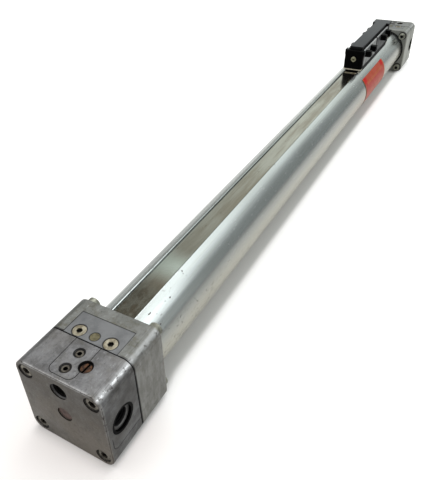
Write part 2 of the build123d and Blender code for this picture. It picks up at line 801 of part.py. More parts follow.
def band_guide():
    """The shoe that leads the cover band up from its recess on to the carriage floor."""
    half = channel_width / 2 - air_gap
    low = band_top + air_gap
    high = band_over_floor + outer_band_thickness + air_gap
    points = [(floor_half_length, high), (outer_ramp_end, high), (outer_ramp_start, low),
              (half_length, low)]
    underside = band_path(points, band_bend_radius)
    back = Polyline(underside @ 1, (half_length, 0, guide_top),
                    (floor_half_length, 0, guide_top), underside @ 0)
    shoe = extrude(make_face([underside, back]), half, both=True)
    return shoe & block(floor_half_length, channel_half_length, -half, half, recess_floor, guide_top)


def side_plates(side):
    """Two grey plates on one side of the carriage, meeting at mid-length."""
    y0 = side * carriage_width / 2
    y1 = side * (carriage_width / 2 + side_plate_thickness)
    plates = []
    half_split = plate_split / 2
    top = channel_top - side_plate_drop
    hole = stud_diameter / 2 + fit_clearance
    for x0, x1 in ((-channel_half_length, -half_split), (half_split, channel_half_length)):
        plate = block(x0, x1, min(y0, y1), max(y0, y1), side_plate_bottom, top)
        for x in nut_places:
            if x0 < x < x1:
                plate -= rod_y(hole, -block_side, block_side, x, nut_height)
        plates.append(plate)
    return plates


def side_nuts():
    """Eight square black nuts in two pairs on each side, long ones on the right."""
    nuts = []
    half = nut_size / 2
    hole = stud_diameter / 2 + fit_clearance
    inner = carriage_width / 2 + side_plate_thickness
    for side, thickness in ((-1, right_nut_thickness), (1, left_nut_thickness)):
        for x in nut_places:
            y0 = side * inner
            y1 = side * (inner + thickness)
            nut = block(x - half, x + half, min(y0, y1), max(y0, y1),
                        nut_height - half, nut_height + half)
            outer_face = nut.faces().sort_by(Axis.Y)[0 if side < 0 else -1]
            nut = chamfer(outer_face.edges(), nut_chamfer)
            nuts.append(nut - rod_y(hole, -block_side, block_side, x, nut_height))
    return nuts


def side_studs():
    """The studs that the square nuts sit on."""
    studs = []
    inner = cover_width / 2 - stud_reach + air_gap
    plate_face = carriage_width / 2 + side_plate_thickness
    for side, thickness in ((-1, right_nut_thickness), (1, left_nut_thickness)):
        for x in nut_places:
            y0 = side * inner
            y1 = side * (plate_face + thickness - nut_chamfer)
            studs.append(rod_y(stud_diameter / 2, min(y0, y1), max(y0, y1), x, nut_height))
    return studs


def side_seals():
    """Two rubber strips that close the gap between the side plates and the barrel."""
    seals = []
    outer = carriage_width / 2 + side_plate_thickness + seal_overhang
    barrel_space = rod_x(barrel_radius + throat_gap, -half_length, half_length, 0, barrel_height)
    for side in (-1, 1):
        y0 = side * (carriage_width / 2 + 0.1)
        y1 = side * outer
        seal = block(-channel_half_length, channel_half_length, min(y0, y1), max(y0, y1),
                     barrel_height, side_plate_bottom)
        seals.append(seal - barrel_space)
    return seals


def near(shape):
    """Puts a shape drawn from an outer end face on the near end of the cylinder."""
    return Pos(-half_length, 0, 0) * shape


def far(shape):
    """Puts the mirror image of a shape on the far end of the cylinder."""
    return mirror(near(shape), about=Plane.YZ)


def on_carriage(shape):
    """Moves a shape drawn about the carriage's middle to the carriage's rest place."""
    return Pos(carriage_rest, 0, 0) * shape


def save(name, shape):
    """Writes one sub-part, a single solid or a group of separate ones."""
    if isinstance(shape, list):
        shape = Compound(children=[item for piece in shape for item in piece.solids()])
    export_step(shape, "parts/" + name + ".step")


def placed(shape, place):
    """Places one shape or a list of shapes."""
    if isinstance(shape, list):
        return [place(piece) for piece in shape]
    return place(shape)


os.makedirs("parts", exist_ok=True)

save("barrel", barrel())
save("outer_band", outer_band())
save("inner_band", inner_band())
save("type_label", type_label())

end_pieces = {
    "end_block": end_block,
    "flange_block": flange_block,
    "joint_gasket": joint_gasket,
    "end_screws": end_screws,
    "flange_screws": flange_screws,
    "end_plug": end_plug,
    "port_ring": port_ring,
    "passage_screws": passage_screws,
    "band_clamp": band_clamp,
    "band_clamp_screws": band_clamp_screws,
    "band_clamp_pin": band_clamp_pin,
    "barrel_ring": barrel_ring,
    "bore_seal": bore_seal,
    "cushion_seal": cushion_seal,
    "cushion_screw": cushion_screw,
    "cushion_oring": cushion_oring,
}
for name, make in end_pieces.items():
    piece = make()
    save("near_" + name, placed(piece, near))
    save("far_" + name, placed(piece, far))

save("piston_yoke", on_carriage(piston_yoke()))
save("yoke_screws", placed(yoke_screws(), on_carriage))
save("carriage_body", on_carriage(carriage_body()))
save("carriage_cover", on_carriage(carriage_cover()))
save("left_side_plates", placed(side_plates(1), on_carriage))
save("right_side_plates", placed(side_plates(-1), on_carriage))
save("side_nuts", placed(side_nuts(), on_carriage))
save("side_studs", placed(side_studs(), on_carriage))
save("side_seals", placed(side_seals(), on_carriage))

carriage_end_pieces = {
    "piston": piston(),
    "cushion_spigot": cushion_spigot(),
    "end_plate": end_plate(),
    "wiper_strip": wiper_strip(),
    "band_guide": band_guide(),
}
for name, piece in carriage_end_pieces.items():
    save("far_" + name, on_carriage(piece))
    save("near_" + name, on_carriage(mirror(piece, about=Plane.YZ)))

paired_pieces = {
    "piston_seals": piston_ring(seal_start, piston_seal_width),
    "wear_rings": piston_ring(wear_ring_start, wear_ring_width),
    "wipers": wiper(),
    "end_plate_screws": end_plate_screw(),
}
for name, piece in paired_pieces.items():
    save(name, placed([piece, mirror(piece, about=Plane.YZ)], on_carriage))
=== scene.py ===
import json
import math

import bmesh
import bpy
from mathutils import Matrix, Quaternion, Vector


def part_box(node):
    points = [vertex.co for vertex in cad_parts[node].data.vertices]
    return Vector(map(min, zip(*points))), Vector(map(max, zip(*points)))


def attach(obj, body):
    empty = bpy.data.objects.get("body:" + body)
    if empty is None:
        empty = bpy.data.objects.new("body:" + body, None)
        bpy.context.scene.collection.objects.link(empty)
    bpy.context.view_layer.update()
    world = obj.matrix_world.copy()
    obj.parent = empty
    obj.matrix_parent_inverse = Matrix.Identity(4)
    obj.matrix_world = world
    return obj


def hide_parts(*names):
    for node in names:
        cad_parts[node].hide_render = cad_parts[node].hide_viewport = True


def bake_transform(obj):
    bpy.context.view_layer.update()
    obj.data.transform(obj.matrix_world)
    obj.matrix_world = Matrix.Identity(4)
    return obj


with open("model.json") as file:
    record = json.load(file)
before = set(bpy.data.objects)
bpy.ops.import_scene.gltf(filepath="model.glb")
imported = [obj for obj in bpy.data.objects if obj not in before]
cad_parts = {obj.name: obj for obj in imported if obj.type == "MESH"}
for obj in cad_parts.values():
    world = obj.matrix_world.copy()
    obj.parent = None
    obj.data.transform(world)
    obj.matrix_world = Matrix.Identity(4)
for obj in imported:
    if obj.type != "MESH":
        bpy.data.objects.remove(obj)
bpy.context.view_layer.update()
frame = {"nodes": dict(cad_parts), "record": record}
nodes = frame["nodes"]

mm = 0.001
ends = ("near", "far")

# Small sizes of the castings and what they carry
edge_rounding = 8 * mm
corner_inset = 8.1 * mm
tap_drop = 11.9 * mm
tap_sink = 0.3 * mm
tap_thread_depth = 11.4 * mm
port_thread_reach = 31.5 * mm
port_thread_depth = 19 * mm
set_screw_radius = 3 * mm
set_screw_rim = 4 * mm
needle_rim = 4.9 * mm
clamp_head_radius = 4.75 * mm
clamp_screw_rim = 5.4 * mm
clamp_pin_rim = 3.8 * mm
flange_head_rim = 5.4 * mm

# The ridges of the G1/4 threads
thread_major = 6.58 * mm
thread_minor = 5.72 * mm
thread_pitch = 1.337 * mm
thread_steps = 36
thread_sink = 0.03 * mm

# The bands, and how far from the carriage's middle their arches begin and level out
outer_thickness = 0.6 * mm
inner_thickness = 0.4 * mm
outer_arch_reach = 73 * mm
inner_arch_reach = 84 * mm
arch_flat_reach = 33 * mm
ramp_steps = 14

# Places read from the frame
barrel_low, barrel_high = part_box("barrel")
barrel_radius = (barrel_high.y - barrel_low.y) / 2
barrel_height = barrel_low.z + barrel_radius
block_low, block_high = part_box("near_end_block")
block_side = block_high.z - block_low.z
block_middle = block_low.z + block_side / 2
half_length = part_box("far_end_block")[1].x
outer_length = half_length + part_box("near_flange_block")[0].x
casting_end = -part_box("near_flange_block")[1].x
corner_reach = block_side / 2 - corner_inset
tap_height = block_high.z - tap_drop
ring_low, ring_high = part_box("near_port_ring")
port_reach = -(ring_low.x + ring_high.x) / 2
port_height = (ring_low.z + ring_high.z) / 2
needle_low, needle_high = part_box("near_cushion_screw")
needle_reach = -(needle_low.x + needle_high.x) / 2
needle_aside = (needle_low.y + needle_high.y) / 2
passage_low, passage_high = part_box("near_passage_screws")
clamp_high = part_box("near_band_clamp")[1]
clamp_screw_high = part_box("near_band_clamp_screws")[1]
clamp_screw_aside = clamp_screw_high.y - clamp_head_radius
pin_low, pin_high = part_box("near_band_clamp_pin")
pin_reach = -(pin_low.x + pin_high.x) / 2
label_low, label_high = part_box("type_label")
band_low, band_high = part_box("outer_band")
inner_low, inner_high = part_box("inner_band")
carriage_low, carriage_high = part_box("carriage_body")
carriage_middle = (carriage_low.x + carriage_high.x) / 2
cover_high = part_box("carriage_cover")[1]
plate_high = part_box("right_side_plates")[1]


def tone(red, green, blue):
    """A colour as it looks on a screen, 0 to 255, as the shader's linear colour."""
    return tuple((value / 255) ** 2.2 for value in (red, green, blue)) + (1.0,)


class Field:
    """A value that changes over a surface, so that shader maths reads as ordinary sums."""

    def __init__(self, shading, socket):
        self.shading = shading
        self.socket = socket

    def maths(self, operation, first, second=None):
        """Adds one Math node; the operators below go through it."""
        values = {0: first}
        if second is not None:
            values[1] = second
        return self.shading.node("ShaderNodeMath", {"operation": operation}, values)

    def __add__(self, other):
        return self.maths("ADD", self, other)

    def __radd__(self, other):
        return self.maths("ADD", other, self)

    def __sub__(self, other):
        return self.maths("SUBTRACT", self, other)

    def __rsub__(self, other):
        return self.maths("SUBTRACT", other, self)

    def __mul__(self, other):
        return self.maths("MULTIPLY", self, other)

    def __rmul__(self, other):
        return self.maths("MULTIPLY", other, self)

    def __truediv__(self, other):
        return self.maths("DIVIDE", self, other)

    def __rtruediv__(self, other):
        return self.maths("DIVIDE", other, self)

    def __abs__(self):
        return self.maths("ABSOLUTE", self)

    def lesser(self, other):
        return self.maths("MINIMUM", self, other)

    def greater(self, other):
        return self.maths("MAXIMUM", self, other)

    def rise(self, low, high):
        """0 below low, 1 above high, smooth between."""
        settings = {"interpolation_type": "SMOOTHSTEP"}
        return self.shading.node("ShaderNodeMapRange", settings, {0: self, 1: low, 2: high})

    def fall(self, low, high):
        """1 below low, 0 above high, smooth between."""
        return 1 - self.rise(low, high)

    def hump(self, middle, reach):
        """1 at the middle, 0 beyond its reach on both sides."""
        return abs(self - middle).fall(0, reach)

    def turn(self, other):
        """Angle in radians of a point whose height is this field and whose way out is the other."""
        return self.maths("ARCTAN2", self, other)


class Shading:
    """A node tree, with the one method that adds a node to it."""

    def __init__(self, tree):
        self.tree = tree

    def node(self, kind, settings=None, values=None, output=0):
        """Adds a node: its settings first, then the values or fields of its sockets."""
        made = self.tree.nodes.new(kind)
        for name, value in (settings or {}).items():
            setattr(made, name, value)
        for socket, value in (values or {}).items():
            self.feed(made.inputs[socket], value)
        return Field(self, made.outputs[output])

    def feed(self, socket, value):
        """Links a field to a socket, or sets the socket where the value is plain."""
        if isinstance(value, Field):
            self.tree.links.new(value.socket, socket)
        else:
            socket.default_value = value


class Finish(Shading):
    """One material, with the fields that vary its surface."""

    def __init__(self, name, metallic=0.0, specular=0.5):
        self.material = bpy.data.materials.new(name)
        self.material.use_nodes = True
        super().__init__(self.material.node_tree)
        self.shader = self.tree.nodes["Principled BSDF"]
        self.set("Metallic", metallic)
        self.set("Specular IOR Level", specular)
        self.place = self.node("ShaderNodeTexCoord", output="Object")
        self.x, self.y, self.z = (self.node("ShaderNodeSeparateXYZ", {}, {0: self.place}, output=axis)
                                  for axis in "XYZ")

    def set(self, socket, value):
        """Feeds one socket of the material's shader."""
        self.feed(self.shader.inputs[socket], value)

    def noise(self, size, stretch=(1, 1, 1), detail=4.0, rough=0.55):
        """Cloudy noise about 0.5, whose lumps are about one size across, in metres."""
        stretched = self.node("ShaderNodeVectorMath", {"operation": "MULTIPLY"}, {0: self.place, 1: stretch})
        values = {"Vector": stretched, "Scale": 1 / size, "Detail": detail, "Roughness": rough}
        return self.node("ShaderNodeTexNoise", {}, values)

    def mix(self, first, second, factor):
        """Goes from the first colour to the second as the factor goes from 0 to 1."""
        settings = {"data_type": "RGBA", "clamp_factor": True}
        return self.node("ShaderNodeMix", settings, {0: factor, 6: first, 7: second}, output=2)

    def relief(self, height, depth):
        """Raises the surface by a field times a depth in metres."""
        values = {"Height": height, "Distance": depth, "Strength": 1.0}
        self.set("Normal", self.node("ShaderNodeBump", {}, values, output="Normal"))


def distance(first, second):
    """Length of the slanting side over two fields."""
    total = first * first + second * second
    return total.maths("POWER", total, 0.5)


def side_depths(finish):
    """How far a point of a casting lies in from its nearer flank, and from its nearer top or base."""
    return block_side / 2 - abs(finish.y), block_side / 2 - abs(finish.z - block_middle)


def long_edge_distance(finish):
    """How far a point of a casting is from its nearest long edge, as if that edge were sharp."""
    side, level = side_depths(finish)
    return side.greater(level)


def block_edge_distance(finish):
    """How far a point of a casting is from the crest of the nearest of its outer edges."""
    side, level = side_depths(finish)
    end_edge = (half_length - abs(finish.x)).greater(side.lesser(level))
    return (long_edge_distance(finish) - edge_rounding * (1 - math.sqrt(0.5))).lesser(end_edge)


def hole_depth(finish):
    """How far a point lies below the nearest outside face of a casting."""
    side, level = side_depths(finish)
    reach = abs(finish.x)
    return side.lesser(level).lesser(half_length - reach).lesser(reach - casting_end)


def port_distance(finish):
    """How far a point lies from the axis of its port."""
    return distance(abs(finish.x) - port_reach, finish.z - port_height)


def corner_distance(finish):
    """How far a point lies from the axis of the corner screws nearest to it."""
    return distance(abs(finish.y) - corner_reach, abs(finish.z - block_middle) - corner_reach)


def well_distance(finish):
    """How far a point of the top lies outside the dark rims of the needle and set screws."""
    reach = abs(finish.x)
    outer = distance(reach + passage_low.x + set_screw_radius, finish.y) - set_screw_rim
    inner = distance(reach + passage_high.x - set_screw_radius, finish.y) - set_screw_rim
    needle = distance(reach - needle_reach, finish.y - needle_aside) - needle_rim
    return outer.lesser(inner).lesser(needle)


def casting_skin(finish, inner, upper, face, flank):
    """The mottled skin of a casting with stains, its end face darker towards the top and its outer right
    flank darker in patches near the top, and the fields that also shape its relief.

    The factors are 1 on the inner casting, the upper part, the end face and the right flank."""
    mottle = finish.noise(11 * mm, detail=8, rough=0.7).rise(0.38, 0.62)
    cloud = finish.noise(38 * mm, detail=3).rise(0.4, 0.62)
    colour = finish.mix(tone(122, 122, 123), tone(84, 83, 83), mottle * 0.75)
    colour = finish.mix(colour, tone(121, 123, 116), inner * 0.5)
    colour = finish.mix(colour, tone(104, 100, 94), cloud * (1 - inner) * 0.3)
    # The end face turns darker towards its top.
    face_tone = finish.mix(tone(128, 121, 113), tone(92, 86, 79), upper)
    colour = finish.mix(colour, face_tone, face * (0.6 + cloud * 0.3))
    blotches = finish.noise(4.5 * mm, stretch=(1, 0.6, 1), detail=6, rough=0.7).rise(0.5, 0.64)
    colour = finish.mix(colour, tone(92, 88, 74), blotches * (0.18 + inner * 0.34))
    # The upper right flank of the outer casting turns darker in patches.
    colour = finish.mix(colour, tone(70, 68, 67), flank * upper * (1 - inner) * cloud * 0.7)
    drifts = finish.noise(5 * mm, stretch=(1, 1, 0.25), detail=6, rough=0.7).rise(0.4, 0.64)
    pale = finish.mix(tone(146, 143, 139), tone(182, 181, 178), drifts)
    colour = finish.mix(colour, pale, flank * inner * 0.45)
    scuffs = finish.noise(3 * mm, stretch=(0.6, 1, 0.8), detail=8, rough=0.82)
    colour = finish.mix(colour, tone(164, 165, 165), scuffs.rise(0.54, 0.68) * 0.42)
    colour = finish.mix(colour, tone(62, 60, 59), scuffs.fall(0.34, 0.46) * 0.55)
    scratches = finish.noise(0.9 * mm, stretch=(0.16, 1, 1), detail=2).rise(0.68, 0.74)
    colour = finish.mix(colour, tone(170, 171, 170), scratches * finish.noise(30 * mm).rise(0.45, 0.6) * 0.5)
    return colour, mottle, scuffs, scratches


def casting_sheen_and_wear(finish, colour, inner, upper, face):
    """Paints a highlight along the top right long edge, rubs the edges bright in patches, and nicks and
    smudges them: colour, the painted highlight with the rubbed edges, and nicks.
    """
    patchy = finish.noise(6 * mm, stretch=(0.4, 1, 1), detail=7, rough=0.75).rise(0.25, 0.65)
    # Painted highlight: a white streak along the crest of the top right long edge, fainter along the top
    # left and on the inner casting.
    top = finish.z.rise(block_high.z - 3.8 * mm, block_high.z - 2 * mm)
    wander = 2.6 * mm + (finish.noise(14 * mm, detail=5, rough=0.7) - 0.5) * 2.4 * mm
    crest = abs(block_side / 2 - abs(finish.y) - wander)
    grains = finish.noise(1.6 * mm, stretch=(0.5, 1, 1), detail=5, rough=0.7).rise(0.4, 0.6)
    streak = crest.fall(0.3 * mm, 1.5 * mm) * (0.35 + grains * 0.65) * (1 - inner * 0.6)
    streak = streak.greater(crest.fall(1 * mm, 3 * mm) * 0.3) * top * finish.y.fall(0, 10 * mm).greater(0.3)
    edge = block_edge_distance(finish)
    # The painted highlight together with patches of rubbed bright edges.
    sheen_and_wear = streak.greater(edge.fall(0.3 * mm, 2 * mm) * upper * patchy * 0.35)
    colour = finish.mix(colour, tone(250, 251, 252), sheen_and_wear * 0.8)
    spots = finish.noise(3 * mm, stretch=(1, 0.5, 1), detail=4).rise(0.58, 0.63)
    nicks = edge.fall(0.8 * mm, 2.4 * mm) * spots
    colour = finish.mix(colour, tone(56, 49, 45), nicks * 0.65)
    smudges = finish.noise(8 * mm, detail=7, rough=0.7).rise(0.5, 0.66)
    colour = finish.mix(colour, tone(82, 78, 75), smudges * face * 0.4)
    return colour, sheen_and_wear, nicks


def casting_shade_and_joints(finish, colour, out):
    """Paints shade round the flange screw heads, in the grooves, in the rims round the needle and set screws
    and deep in the holes, and darkens the joint between the castings: colour, and the painted shade in the
    holes.

    The field says how far a point lies from the end of the cylinder."""
    barrel_face = half_length - casting_end
    barrel_side = out.rise(barrel_face - 0.6 * mm, barrel_face - 0.2 * mm)
    # Painted shade: a dark ring round each flange screw head on the face towards the barrel.
    head_ring_shade = barrel_side * corner_distance(finish).fall(flange_head_rim, flange_head_rim + 2 * mm)
    colour = finish.mix(colour, tone(20, 19, 18), head_ring_shade * 0.9)
    depth = hole_depth(finish)
    flat = long_edge_distance(finish).rise(6.3 * mm, 6.5 * mm)
    groove = depth.rise(0.1 * mm, 0.2 * mm) * depth.fall(0.5 * mm, 0.8 * mm) * flat
    joint = abs(out - outer_length).fall(0.5 * mm, 1.3 * mm) * finish.noise(20 * mm).rise(0.3, 0.5)
    above = finish.z.rise(block_high.z - 4 * mm, block_high.z - 3 * mm)
    well = well_distance(finish).fall(0, 0.25 * mm) * above
    # Painted shade in the grooves and in the rims round the needle and set screws, with the dark joint
    # between the castings.
    colour = finish.mix(colour, tone(24, 22, 21), groove.greater(joint).greater(well) * 0.85)
    port = port_distance(finish).fall(6.5 * mm, 6.8 * mm) * (finish.y * -1).rise(0, 1 * mm)
    tap = distance(finish.y, finish.z - tap_height).fall(6.8 * mm, 7 * mm)
    # Painted shade deep in the holes, near black in the port and the tap.
    hole_shade = depth.rise(2.5 * mm, 4.4 * mm).greater(port.greater(tap) * depth.rise(1 * mm, 2.6 * mm))
    colour = finish.mix(colour, finish.mix(tone(22, 20, 18), tone(4, 4, 6), port), hole_shade * 0.98)
    return colour, hole_shade


def cast_aluminium():
    """Grey die casting: mottled skin, stains, fine scratches, painted shade in the holes, grooves and screw
    rims, a painted highlight along the top right edge, rubbed bright edges.
    """
    finish = Finish("end_casting", metallic=0.65, specular=0.15)
    fine = finish.noise(0.8 * mm, detail=3)
    out = half_length - abs(finish.x)
    inner = out.rise(outer_length, outer_length + 1 * mm)
    upper = finish.z.rise(block_low.z + 8 * mm, block_high.z - 10 * mm)
    face = out.fall(0.4 * mm, 1.6 * mm)
    flank = (finish.y + block_side / 2).fall(0.4 * mm, 1.6 * mm)
    colour, mottle, scuffs, scratches = casting_skin(finish, inner, upper, face, flank)
    colour, sheen_and_wear, nicks = casting_sheen_and_wear(finish, colour, inner, upper, face)
    far = finish.x.rise(0, half_length)
    far_tone = finish.mix(tone(160, 162, 156), tone(206, 208, 200), flank)
    colour = finish.mix(colour, far_tone, far * (0.26 + flank * 0.34))
    colour, hole_shade = casting_shade_and_joints(finish, colour, out)
    finish.set("Base Color", colour)
    finish.set("Metallic", 0.65 - hole_shade * 0.6)
    finish.set("Roughness", 0.42 - sheen_and_wear * 0.14 + fine * 0.1 + scuffs * 0.08 + hole_shade * 0.3)
    finish.relief(fine * 0.8 + mottle * 0.8 + scuffs * 2 - nicks * 2 - scratches, 0.05 * mm)
    return finish.material


def anodised_barrel():
    """Satin anodised extrusion: faint drawn lines, warmer low down as a painted reflection of the floor and
    rougher there, nicked most by the near end.
    """
    finish = Finish("barrel_anodised", metallic=0.9)
    drawn = finish.noise(1.1 * mm, stretch=(0.008, 1, 1), detail=3)
    broad = finish.noise(60 * mm, stretch=(0.3, 1, 1), detail=3).rise(0.35, 0.7)
    colour = finish.mix(tone(196, 201, 201), tone(184, 188, 186), broad)
    colour = finish.mix(colour, tone(172, 173, 164), drawn.rise(0.5, 0.75) * 0.4)
    low = finish.z.fall(barrel_height - 0.1 * barrel_radius, barrel_height + 0.6 * barrel_radius)
    # Painted reflection of the floor: warmer low down.
    colour = finish.mix(colour, tone(188, 184, 170), low * 0.8)
    marks = finish.noise(2.6 * mm, stretch=(0.6, 1, 1), detail=5, rough=0.62).rise(0.64, 0.67)
    near_end = finish.x.fall(-casting_end + 50 * mm, -casting_end + 130 * mm)
    region = (finish.noise(60 * mm, detail=1).rise(0.5, 0.64) * 0.5).greater(near_end)
    nicks = finish.noise(1.8 * mm, stretch=(0.5, 1, 1), detail=2).rise(0.62, 0.65) * near_end * low
    colour = finish.mix(colour, tone(66, 58, 54), (marks * region).greater(nicks) * 0.85)
    lip = (abs(finish.y) - band_high.y).fall(1.2 * mm, 2.4 * mm)
    chips = finish.noise(3 * mm, stretch=(0.4, 1, 1), detail=4).rise(0.62, 0.67) * lip
    colour = finish.mix(colour, tone(96, 92, 84), chips * 0.8)
    finish.set("Base Color", colour)
    finish.set("Roughness", 0.15 + drawn * 0.07 + marks * 0.1 + low * 0.08)
    finish.relief(drawn * 0.5 - chips * 1.5 - marks * region * 2, 0.03 * mm)
    return finish.material


def band_steel(name):
    """Cold-rolled strip: nearly a mirror, with long streaks, brownish oil stains and a painted highlight a
    little way in from the near end.
    """
    finish = Finish(name, metallic=1.0)
    streak = finish.noise(0.8 * mm, stretch=(0.012, 1, 1), detail=4)
    stain = finish.noise(26 * mm, stretch=(0.25, 1.6, 1), detail=5).rise(0.4, 0.66)
    colour = finish.mix(tone(198, 197, 186), tone(164, 157, 142), stain)
    colour = finish.mix(colour, tone(104, 100, 90), streak.rise(0.52, 0.74) * 0.3)
    clamped = finish.x.fall(-casting_end + 26 * mm, -casting_end + 52 * mm)
    smears = finish.noise(5 * mm, stretch=(0.5, 0.8, 1), detail=5, rough=0.7).rise(0.42, 0.62)
    dull = finish.mix(tone(132, 130, 120), tone(98, 90, 76), smears)
    colour = finish.mix(colour, dull, clamped * 0.85)
    # Painted highlight: a bright patch across the band a little way in from the near casting.
    rubbed = finish.x.hump(-casting_end + 66 * mm, 24 * mm)
    colour = finish.mix(colour, tone(236, 246, 236), rubbed)
    drops = finish.noise(2.4 * mm, stretch=(0.6, 1, 1), detail=2).rise(0.72, 0.74)
    colour = finish.mix(colour, tone(92, 74, 52), drops * 0.7)
    rim = (band_high.y - abs(finish.y)).fall(0.3 * mm, 0.9 * mm)
    colour = finish.mix(colour, tone(60, 56, 50), rim * 0.7)
    finish.set("Base Color", colour)
    finish.set("Roughness", 0.08 + streak * 0.08 + stain * 0.05)
    finish.relief(streak, 0.01 * mm)
    return finish.material


def clamp_plate():
    """Grey zinc plate with dark joints round its edge, its screws and its pin."""
    finish = Finish("clamp_plate", metallic=0.6)
    cloud = finish.noise(12 * mm, detail=6, rough=0.65).rise(0.38, 0.66)
    fine = finish.noise(0.6 * mm, detail=2)
    reach = abs(finish.x)
    colour = finish.mix(tone(114, 115, 116), tone(101, 102, 103), cloud)
    rim = (clamp_high.y - abs(finish.y)).lesser(reach + clamp_high.x).fall(0.2 * mm, 0.8 * mm)
    screws = distance(reach - pin_reach, abs(finish.y) - clamp_screw_aside) - clamp_screw_rim
    pin = distance(reach - pin_reach, finish.y) - clamp_pin_rim
    seats = screws.lesser(pin).fall(0, 0.5 * mm)
    colour = finish.mix(colour, tone(44, 42, 40), rim.greater(seats) * 0.8)
    finish.set("Base Color", colour)
    finish.set("Roughness", 0.42 + cloud * 0.12 + fine * 0.06)
    finish.relief(fine + cloud, 0.02 * mm)
    return finish.material


def plain_metal(name, ground, dark, metallic=0.8, roughness=0.4, lump=4 * mm, top=None, end=None, face=None):
    """A small turned, milled or plated piece: cloudy tarnish, fine tool marks, sockets blackened as painted
    shade.

    The sockets start from the plane of the heads: top looks up, end out, face towards the barrel."""
    finish = Finish(name, metallic=metallic)
    cloud = finish.noise(lump, detail=4).rise(0.38, 0.66)
    fine = finish.noise(0.6 * mm, detail=2)
    colour = finish.mix(ground, dark, cloud)
    if top:
        # Painted shade: all below the head's top turns black.
        colour = finish.mix(colour, tone(12, 11, 10), finish.z.fall(top - 0.9 * mm, top - 0.4 * mm) * 0.94)
    if end:
        # Painted shade: all deeper than the head's outer face turns black.
        socket = abs(finish.x).fall(end - 1.4 * mm, end - 0.7 * mm)
        colour = finish.mix(colour, tone(12, 11, 10), socket * 0.94)
    if face:
        # Painted shade: the socket in the middle of the head turns black.
        socket = abs(finish.x).rise(face + 0.3 * mm, face + 0.8 * mm)
        socket = socket * corner_distance(finish).fall(2.9 * mm, 3.2 * mm)
        colour = finish.mix(colour, tone(8, 8, 8), socket * 0.96)
    finish.set("Base Color", colour)
    finish.set("Roughness", roughness + cloud * 0.14 + fine * 0.06)
    finish.relief(fine + cloud, 0.02 * mm)
    return finish.material


def black_finish(name, ground, dust, roughness, metallic=0.0, lump=14 * mm, specular=0.5):
    """Black anodising, plastic or rubber with a grey bloom of dust and rubbed spots."""
    finish = Finish(name, metallic=metallic, specular=specular)
    bloom = finish.noise(lump, detail=5).rise(0.45, 0.72)
    fine = finish.noise(0.7 * mm, detail=3)
    rubbed = finish.noise(3 * mm, stretch=(0.4, 1, 1), detail=3).rise(0.66, 0.76)
    colour = finish.mix(ground, dust, bloom * 0.22 + rubbed * 0.2)
    finish.set("Base Color", colour)
    finish.set("Roughness", roughness + bloom * 0.12 - rubbed * 0.06)
    finish.relief(fine, 0.02 * mm)
    return finish.material


def cover_slate():
    """Slate grey top face, lighter towards the far end, with its sides painted black as painted shade."""
    finish = Finish("cover_slate", metallic=0.4, specular=0.2)
    bloom = finish.noise(16 * mm, detail=5).rise(0.42, 0.7)
    fine = finish.noise(0.7 * mm, detail=3)
    drawn = finish.noise(1.4 * mm, stretch=(0.03, 1, 1), detail=3).rise(0.5, 0.75)
    along = (finish.x - carriage_low.x) / (carriage_high.x - carriage_low.x)
    # Lighter towards the far end along its length.
    top = finish.mix(tone(55, 57, 60), tone(72, 74, 76), along.rise(0, 1))
    top = finish.mix(top, tone(106, 108, 110), bloom * 0.25 + drawn * 0.2)
    level = finish.z.rise(cover_high.z - 0.7 * mm, cover_high.z - 0.3 * mm)
    # Painted shade: the sides black beneath the slate grey top.
    finish.set("Base Color", finish.mix(tone(11, 11, 12), top, level))
    finish.set("Metallic", level * 0.4)
    finish.set("Roughness", 0.46 + bloom * 0.12)
    finish.relief(fine + drawn, 0.02 * mm)
    return finish.material


def side_plate():
    """Milled plates beside the carriage: the near ones pale, the far ones darkened as painted shade, with a
    painted highlight along the top edge and painted shade in the gap between them.
    """
    finish = Finish("side_plate", metallic=0.7)
    cloud = finish.noise(12 * mm, detail=5).rise(0.38, 0.66)
    fine = finish.noise(0.6 * mm, detail=2)
    milled = finish.noise(1 * mm, stretch=(0.05, 1, 1), detail=3)
    far = finish.x.rise(carriage_middle - 1 * mm, carriage_middle + 1 * mm)
    colour = finish.mix(tone(160, 163, 163), tone(128, 130, 128), cloud)
    # Painted shade on the far plates.
    colour = finish.mix(colour, tone(74, 76, 78), far * 0.8)
    top = finish.z.rise(plate_high.z - 1.6 * mm, plate_high.z - 0.8 * mm)
    # Painted highlight along the top edge.
    colour = finish.mix(colour, tone(196, 198, 198), top * 0.7)
    gap = abs(finish.x - carriage_middle).fall(2.2 * mm, 2.6 * mm)
    # Painted shade in the gap between the near and far plates.
    colour = finish.mix(colour, tone(10, 10, 10), gap * 0.96)
    finish.set("Base Color", colour)
    finish.set("Roughness", 0.36 + cloud * 0.14 + milled * 0.08)
    finish.relief(fine + milled, 0.02 * mm)
    return finish.material


